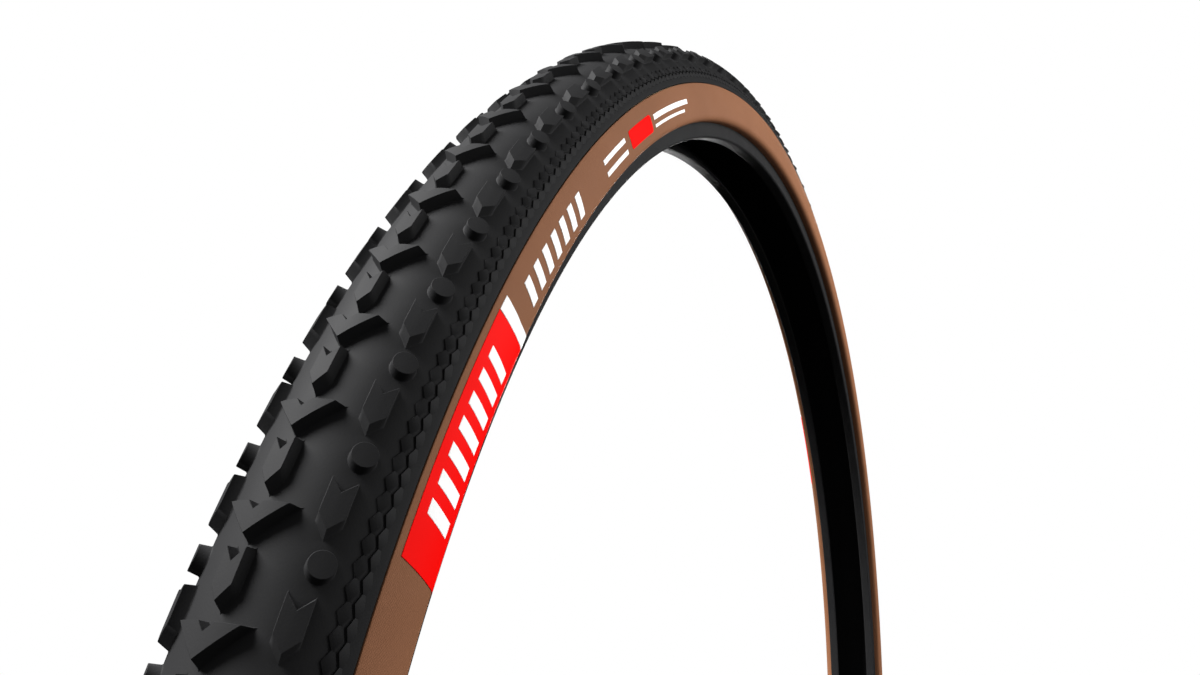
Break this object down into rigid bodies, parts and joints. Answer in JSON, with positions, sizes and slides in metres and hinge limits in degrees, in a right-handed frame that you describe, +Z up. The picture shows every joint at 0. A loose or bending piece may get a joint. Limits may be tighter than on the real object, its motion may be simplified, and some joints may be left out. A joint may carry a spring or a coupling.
{
  "type": "bicycle tire",
  "caption": "Knobbly gravel bicycle tire with a fishbone centre tread, arrow and round shoulder knobs, tan sidewalls and folding beads, in its inflated shape.",
  "frame": {"origin": "wheel centre: on the wheel axis, midway between the two beads", "axes": "+Y along the wheel axis towards the left sidewall, +Z up, +X to the right as seen from the printed right sidewall, which faces -Y; the tread's chevrons point from +X towards +Z"},
  "size_m": [0.692, 0.0384, 0.692],
  "materials": {
    "tread_rubber": "matt moulded rubber",
    "tan_sidewall": "matt tan skin over the casing threads",
    "casing_fabric": "rubbered cotton-coloured threads",
    "belt_fabric": "woven aramid-coloured cloth",
    "liner_rubber": "smooth airtight rubber",
    "bead_fibre": "bundled aramid fibre",
    "chafer_rubber": "matt hard rubber over cloth",
    "red_print": "thin printed film, satin",
    "white_print": "thin printed film, satin"
  },
  "bodies": {
    "root": {"tread_cap": "tread_rubber", "chevron_knobs": "tread_rubber", "centre_arrow_knobs": "tread_rubber", "shoulder_arrow_knobs_left": "tread_rubber", "shoulder_arrow_knobs_right": "tread_rubber", "shoulder_round_knobs_left": "tread_rubber", "shoulder_round_knobs_right": "tread_rubber", "shoulder_strip_left": "tread_rubber", "shoulder_strip_right": "tread_rubber", "sidewall_skin_left": "tan_sidewall", "sidewall_skin_right": "tan_sidewall", "casing_ply_outer": "casing_fabric", "casing_ply_inner": "casing_fabric", "puncture_belt": "belt_fabric", "inner_liner": "liner_rubber", "bead_core_left": "bead_fibre", "bead_core_right": "bead_fibre", "chafer_left": "chafer_rubber", "chafer_right": "chafer_rubber", "print_panel_left": "red_print", "print_panel_right": "red_print", "print_badge_left": "red_print", "print_badge_right": "red_print", "print_stripe_left": "white_print", "print_stripe_right": "white_print", "print_bars_left": "white_print", "print_bars_right": "white_print"}
  },
  "joints": []
}
